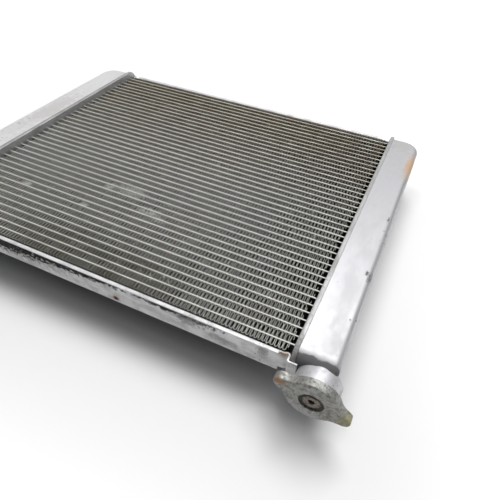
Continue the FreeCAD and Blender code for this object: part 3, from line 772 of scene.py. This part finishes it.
@dataclass
class Core:
    """The flat tubes and the folded fins between them.

    Attributes:
        tube_count: How many tubes there are.
        leg_pitch: The spacing of the fins' legs in millimetres.
        foil: The foil's thickness in millimetres.
        crest_steps: How many straight steps round a crest.
        slack: How far short of the core's two ends a ribbon may stop, in leg pitches.
        wander: How strongly a leg strays from its place, in millimetres.
        wander_noise: How fast that changes per metre of X and per ribbon, and the noise's layer.
        sway: How strongly neighbouring legs lean together, in millimetres.
        sway_noise: How fast that changes per metre of X and Y, and the noise's layer.
        lean: How far a leg's upper edge leans, in millimetres.
        pairing: How far each two legs stand towards each other, in millimetres.
        dent_lean: How far a leg leans in a dent, in millimetres.
        dent_bias: How much more of that is towards +X.
        dent_sink: How far its upper edge is pressed down there, in millimetres.
        dent_narrow: How much narrower a dent is along Y than along X.
        side_gap: The clearance from the crests to the gap's sides, in millimetres.
        bent_depth: How far down a leg is bent, in millimetres.
        seed: The start of the random draws.
        row_depths: How far under the upper edge the bent rows of points lie, in millimetres.
        dents: Each dent's X, Y and reach in millimetres.
    """

    tube_count: int = 40
    leg_pitch: float = 2.02
    foil: float = 0.3
    crest_steps: int = 4
    slack: tuple[float, float] = (0.4, 0.6)
    wander: float = 0.4
    wander_noise: Place = (60.0, 3.1, 0.5)
    sway: float = 0.3
    sway_noise: Place = (25.0, 40.0, 3.0)
    lean: float = 0.4
    pairing: float = 0.36
    dent_lean: float = 1.82
    dent_bias: float = 0.6
    dent_sink: float = 0.12
    dent_narrow: float = 1.6
    side_gap: float = 0.02
    bent_depth: float = 5.0
    seed: int = 7
    row_depths: tuple[float, ...] = (0.0, 2.2)
    dents: tuple[Place, ...] = (
        (-168.0, -109.0, 14.0), (-78.0, -112.0, 12.0), (-74.0, -66.0, 15.0), (-3.0, -85.0, 20.0))

    def gaps(self) -> list[tuple[float, float]]:
        """Read the gaps that the fins fill from the CAD nodes.

        Returns:
            Each gap's near and far side in metres.
        """
        fins_low, fins_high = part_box("fin_ribbons")
        edges = [fins_low.y]
        for number in range(1, self.tube_count + 1):
            low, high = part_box(f"tube_{number:02d}")
            edges.extend((low.y, high.y))
        edges.append(fins_high.y)
        return list(zip(edges[0::2], edges[1::2]))

    def dent(self, across: float, along: float) -> float:
        """Tell how deep in a dent a point is.

        Args:
            across: Its X in metres.
            along: Its Y in metres.

        Returns:
            0 outside every dent, 1 at a dent's middle.
        """
        deepest = 0.0
        for centre_x, centre_y, reach in self.dents:
            away = math.hypot(across - centre_x * MM, (along - centre_y * MM) * self.dent_narrow)
            deepest = max(deepest, 1.0 - away / (reach * MM))
        return deepest

    def folds(self, legs: int, half: float, first: int) -> list[tuple[int, float, float]]:
        """Trace a ribbon's line: straight legs joined by round crests.

        Args:
            legs: How many legs it has.
            half: Half the gap's width, in leg pitches.
            first: 1 if the first leg runs away from the near side, else -1.

        Returns:
            For each point its leg, its place across the legs and along the gap, in leg pitches.
        """
        # a crest's radius is half a leg pitch
        crest = 0.5
        line: list[tuple[int, float, float]] = []
        for leg in range(legs):
            side = first if leg % 2 == 0 else -first
            line.append((leg, float(leg), 0.0))
            for step in range(self.crest_steps + 1):
                angle = math.pi * step / self.crest_steps
                held = leg if 2 * step <= self.crest_steps else leg + 1
                line.append((held, leg + crest * (1.0 - math.cos(angle)),
                             side * (half - crest + crest * math.sin(angle))))
        line.append((legs, float(legs), 0.0))
        return line

    def ribbon(self, number: int, near: float, far: float) -> bpy.types.Object:
        """Fold one fin ribbon.

        Args:
            number: The ribbon's number from the near side.
            near: The gap's near side in metres.
            far: The gap's far side in metres.

        Returns:
            The ribbon.
        """
        fins_low, fins_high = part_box("fin_ribbons")
        draws = random.Random(self.seed + number)
        margin = self.foil * MM
        start = fins_low.x + margin + draws.uniform(0.0, self.slack[0]) * self.leg_pitch * MM
        end = fins_high.x - margin - draws.uniform(0.0, self.slack[1]) * self.leg_pitch * MM
        legs = int((end - start) / (self.leg_pitch * MM))
        pitch = (end - start) / legs
        middle = (near + far) / 2
        half = (far - near - self.foil * MM) / 2 - self.side_gap * MM
        depths = [depth * MM for depth in self.row_depths] + [fins_high.z - fins_low.z]
        leans = [draws.uniform(-1.0, 1.0) for _ in range(legs + 1)]
        points: list[Vector] = []
        line = self.folds(legs, half / pitch, draws.choice((-1, 1)))
        for leg, across_share, along_share in line:
            # the crests stay in place, the legs between them are free
            free = 1.0 - abs(along_share * pitch / half) ** 3
            paired = (self.pairing if leg % 2 else -self.pairing) * MM * free
            across = start + across_share * pitch + paired
            along = middle + along_share * pitch
            stray = drift(self.wander_noise, across, number) * self.wander * MM
            pushed = self.dent(across, along)
            dented = (leans[leg] + self.dent_bias) * self.dent_lean * pushed
            lean = (leans[leg] * self.lean + dented) * MM * free
            soft = drift(self.sway_noise, across, along) * self.sway * MM
            for depth in depths:
                bend = max(0.0, 1.0 - depth / (self.bent_depth * MM)) ** 1.5
                x = across + stray + (lean + soft * free) * bend
                x = min(max(x, fins_low.x + margin), fins_high.x - margin)
                sink = self.dent_sink * MM * pushed * bend
                points.append(Vector((x, along, fins_high.z - depth - sink)))
        rows = len(depths)
        corners = [step * rows + row for step in range(len(line) - 1) for row in range(rows - 1)]
        faces = [(corner, corner + 1, corner + rows + 1, corner + rows) for corner in corners]
        flat = new_piece(f"fin_ribbon_{number:02d}", points, faces, FIN_FOIL, 0.0)
        thick = flat.modifiers.new("foil", "SOLIDIFY")
        thick.thickness = self.foil * MM
        thick.offset = 0.0
        return flat

    def build(self) -> None:
        """Dress the tubes and put every ribbon in its gap."""
        dress((f"tube_{number:02d}" for number in range(1, self.tube_count + 1)), TUBE_SKIN)
        for number, (near, far) in enumerate(self.gaps(), start=1):
            made = self.ribbon(number, near, far)
            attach(made, Body.RADIATOR.value)
            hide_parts("fin_ribbons")
            LOG.info("%s fills %.1f mm", made.name, (far - near) / MM)


@dataclass
class Frame:
    """The headers, tanks, side plates, rails and pipes round the core.

    Attributes:
        headers: The header plates' nodes.
        right_tank: The right tank's node.
        left_tank: The left tank's node, whose copy of the tank metal is painted lighter.
        side_plates: The side plates' nodes.
        rails: The mounting rails' nodes.
        pipes: The nodes of the hose pipes and the nipple.
    """

    headers: tuple[str, ...] = ("header_plate_right", "header_plate_left")
    right_tank: str = "tank_right"
    left_tank: str = "tank_left"
    side_plates: tuple[str, ...] = ("side_plate_near", "side_plate_far")
    rails: tuple[str, ...] = ("mounting_rail_right", "mounting_rail_left")
    pipes: tuple[str, ...] = ("inlet_pipe", "outlet_pipe", "overflow_nipple")

    def build(self) -> None:
        """Dress every part of the frame."""
        dress(self.headers, HEADER_ALUMINIUM)
        dress([self.right_tank], TANK_ALUMINIUM)
        dress([self.left_tank], LEFT_TANK_PAINTED_LIGHTER)
        dress(self.side_plates, SIDE_ALUMINIUM)
        dress(self.rails, RAIL_ALUMINIUM)
        dress(self.pipes, PIPE_ALUMINIUM)


@dataclass
class PressureCap:
    """The filler neck, the cap and the valves inside it.

    Attributes:
        turns: How many turns the spring has.
        wire: The spring wire's thickness in millimetres.
        ring_points: How many sides the wire has.
        turn_points: How many points one turn has.
        painted_glow: How far the valve shortens the spring, in millimetres; not used.
    """

    turns: float = 3.0
    wire: float = 1.6
    ring_points: int = 10
    turn_points: int = 32
    painted_glow: float = 3.0

    def spring(self) -> bpy.types.Object:
        """Wind the pressure spring in the place of its CAD node.

        Returns:
            The spring.
        """
        low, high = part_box("pressure_spring")
        centre = (low + high) / 2
        wire = self.wire * MM / 2
        coil = (high.x - low.x) / 2 - wire
        start, end = low.y + wire, high.y - wire
        steps = int(self.turns * self.turn_points)
        points: list[Vector] = []
        for step in range(steps + 1):
            turn = step / self.turn_points
            share = step / steps
            # half a turn lies flat at each end
            eased = min(1.0, max(0.0, (share * self.turns - 0.5) / (self.turns - 1.0)))
            angle = math.tau * turn
            out = Vector((math.cos(angle), 0.0, math.sin(angle)))
            middle = Vector((centre.x, start + (end - start) * eased, centre.z)) + out * coil
            for side in range(self.ring_points):
                around = math.tau * side / self.ring_points
                rise = Vector((0.0, wire * math.sin(around), 0.0))
                points.append(middle + out * (wire * math.cos(around)) + rise)
        faces: list[tuple[int, ...]] = []
        for step in range(steps):
            for side in range(self.ring_points):
                this, after = step * self.ring_points, (step + 1) * self.ring_points
                following = (side + 1) % self.ring_points
                faces.append((this + side, this + following, after + following, after + side))
        faces.append(tuple(range(self.ring_points)))
        faces.append(tuple(steps * self.ring_points + side for side in reversed(range(self.ring_points))))
        made = new_piece("pressure_spring_coil", points, faces, SPRING_STEEL, 60.0)
        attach(made, Body.CAP.value)
        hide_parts("pressure_spring")
        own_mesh(made)
        return made

    def build(self) -> None:
        """Dress the neck, the cap and the valves."""
        dress(["filler_neck"], NECK_ALUMINIUM)
        dress(["cap_shell"], CAP_ZINC)
        dress(["valve_bell"], RIVET_STEEL)
        dress(["locking_disc"], SPRING_STEEL)
        dress(["pressure_valve", "vacuum_valve"], VALVE_BRASS)
        dress(["pressure_seal"], RubberFinish())
        LOG.info("%s is wound", self.spring().name)


# The studio


@dataclass
class Studio:
    """The pale floor with its painted glow, the soft lamps and the surroundings that the metal reflects.

    Attributes:
        floor_half: Half the floor's side in metres.
        floor_colour: The floor's colour.
        floor_grain: The colour of its faint grain.
        footprint: Half the radiator's size on the floor, in metres.
        bright_side: The direction that the room is brightest in.
        room_light: The room's light away from there and there.
        key_power: The overhead lamp's power in watts.
        key_place: Where it hangs, in metres.
        key_size: Its sides in metres.
        key_colour: Its colour.
    """

    floor_half: float = 6.0
    floor_colour: Colour = (0.86, 0.86, 0.865)
    floor_grain: Colour = (0.84, 0.84, 0.845)
    footprint: Place = (0.266, 0.204, 0.0)
    bright_side: Place = (-0.22, 0.24, 0.945)
    room_light: tuple[float, float] = (0.04, 0.9)
    key_power: float = 16.5
    key_place: Place = (0.29, 0.27, 1.45)
    key_size: tuple[float, float] = (1.0, 0.55)
    key_colour: Colour = (1.0, 0.995, 0.985)

    def floor(self) -> None:
        """Lay the floor, which shows white away from the radiator's shadow by a painted glow."""
        half = self.floor_half
        mesh = bpy.data.meshes.new("floor")
        corners = [(-half, -half, 0.0), (half, -half, 0.0), (half, half, 0.0), (-half, half, 0.0)]
        mesh.from_pydata(corners, [], [(0, 1, 2, 3)])
        material = bpy.data.materials.new("pale floor")
        graph = Graph(material)
        mesh.materials.append(material)
        grain = graph.noise((9.0, 9.0, 9.0), 3.0)
        colour = graph.mix(graph.ramp(grain, 0.3, 0.7, 0.0, 0.2), self.floor_colour, self.floor_grain)
        plain = graph.node("ShaderNodeBsdfDiffuse")
        graph.feed(plain.inputs["Color"], colour)
        glow = graph.node("ShaderNodeEmission")
        seen = seen_directly(graph)
        # distance outside the radiator's footprint
        size = graph.vector("ABSOLUTE", graph.place, (0.0, 0.0, 0.0)).outputs["Vector"]
        outside = graph.vector("SUBTRACT", size, self.footprint).outputs["Vector"]
        clamped = graph.vector("MAXIMUM", outside, (0.0, 0.0, 0.0)).outputs["Vector"]
        away = graph.vector("LENGTH", clamped, (0.0, 0.0, 0.0)).outputs["Value"]
        # painted light: the floor glows for the camera and in reflections, not at all beside the radiator and
        # more further out, which steepens the edge of its shadow
        beside = graph.ramp(away, 0.0, 0.03, 0.0, 0.16)
        near = graph.maths("ADD", beside, graph.ramp(away, 0.03, 0.3, 0.0, 0.35))
        painted_glow = graph.maths("ADD", near, graph.ramp(away, 0.3, 1.6, 0.0, 0.6))
        graph.feed(glow.inputs["Strength"], graph.maths("MULTIPLY", painted_glow, seen))
        both = graph.node("ShaderNodeAddShader")
        graph.feed(both.inputs[0], plain.outputs[0])
        graph.feed(both.inputs[1], glow.outputs[0])
        out = graph.node("ShaderNodeOutputMaterial")
        graph.feed(out.inputs["Surface"], both.outputs[0])
        floor = bpy.data.objects.new("floor", mesh)
        bpy.context.scene.collection.objects.link(floor)
        floor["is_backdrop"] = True

    def surroundings(self) -> None:
        """Make the room: bright above and behind the radiator, dark behind the camera."""
        world = bpy.data.worlds.new("room")
        bpy.context.scene.world = world
        graph = Graph(world)
        direction = graph.node("ShaderNodeTexCoord").outputs["Generated"]
        toward = graph.vector("DOT_PRODUCT", direction, self.bright_side).outputs["Value"]
        light_path = graph.node("ShaderNodeLightPath")
        share = graph.ramp(light_path.outputs["Is Glossy Ray"], 0.0, 1.0, 0.6, 1.0)
        strength = graph.maths("MULTIPLY", graph.ramp(toward, 0.3, 1.0, *self.room_light), share)
        shade = graph.node("ShaderNodeBackground")
        shade.inputs["Color"].default_value = (0.97, 0.98, 1.0, 1.0)
        graph.feed(shade.inputs["Strength"], strength)
        white = graph.node("ShaderNodeBackground")
        white.inputs["Color"].default_value = (1.0, 1.0, 1.0, 1.0)
        both = graph.node("ShaderNodeMixShader")
        graph.feed(both.inputs[0], light_path.outputs["Is Camera Ray"])
        graph.feed(both.inputs[1], shade.outputs[0])
        graph.feed(both.inputs[2], white.outputs[0])
        out = graph.node("ShaderNodeOutputWorld")
        graph.feed(out.inputs["Surface"], both.outputs[0])

    def lamps(self) -> None:
        """Hang the soft overhead lamp."""
        lamp = bpy.data.lights.new("overhead softbox", "AREA")
        lamp.shape = "RECTANGLE"
        lamp.size, lamp.size_y = self.key_size
        lamp.energy = self.key_power
        lamp.color = self.key_colour
        made = bpy.data.objects.new("overhead softbox", lamp)
        made.location = self.key_place
        made.rotation_euler = (-Vector(self.key_place)).to_track_quat("-Z", "Y").to_euler()
        bpy.context.scene.collection.objects.link(made)

    def build(self) -> None:
        """Set up the floor, the room and the lamp."""
        self.floor()
        self.surroundings()
        self.lamps()
        LOG.info("studio is ready")


def seen_directly(graph: Graph) -> Socket:
    """Tell rays that come from the camera or from a mirror or glass from all others.

    Args:
        graph: The material's graph.

    Returns:
        1 for those rays, else 0.
    """
    path = graph.node("ShaderNodeLightPath")
    mirrored = graph.maths("MAXIMUM", path.outputs["Is Glossy Ray"], path.outputs["Is Transmission Ray"])
    return graph.maths("MAXIMUM", path.outputs["Is Camera Ray"], mirrored)


@dataclass
class PhotoCamera:
    """The camera that took the photo, as fitted to it.

    Attributes:
        place: Where it stands, in millimetres.
        turn: Its angles in degrees.
        lens: Its focal length in millimetres.
        sensor: Its sensor's width in millimetres.
        clip: The nearest and the farthest distance it sees, in metres.
    """

    place: Place = (263.58, -410.59, 404.73)
    turn: Place = (45.92, -2.269, 24.830)
    lens: float = 31.81
    sensor: float = 36.0
    clip: tuple[float, float] = (0.02, 40.0)

    def build(self) -> None:
        """Place the camera."""
        data = bpy.data.cameras.new("photo camera")
        data.sensor_width = self.sensor
        data.lens = self.lens
        data.clip_start, data.clip_end = self.clip
        made = bpy.data.objects.new("photo camera", data)
        made.location = Vector(self.place) * MM
        made.rotation_euler = Euler([math.radians(angle) for angle in self.turn], "XYZ")
        bpy.context.scene.collection.objects.link(made)
        bpy.context.scene.camera = made
        bpy.context.scene.view_settings.view_transform = "Standard"
        LOG.info("camera is placed")


def write_sizes() -> None:
    """Write the CAD model's box and the dressed model's box."""
    boxes = {"cad": [list(corner) for corner in CAD_BOX], "visual": [list(corner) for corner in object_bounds()]}
    for name, corners in boxes.items():
        LOG.info("%s box %s", name, [[round(value / MM, 2) for value in corner] for corner in corners])


def main() -> None:
    """Build the picture: camera, core, frame, cap and studio."""
    logging.basicConfig(level=logging.INFO, format="%(message)s")
    for part in (PhotoCamera(), Core(), Frame(), PressureCap(), Studio()):
        part.build()
    write_sizes()


if __name__ == "__main__":
    main()
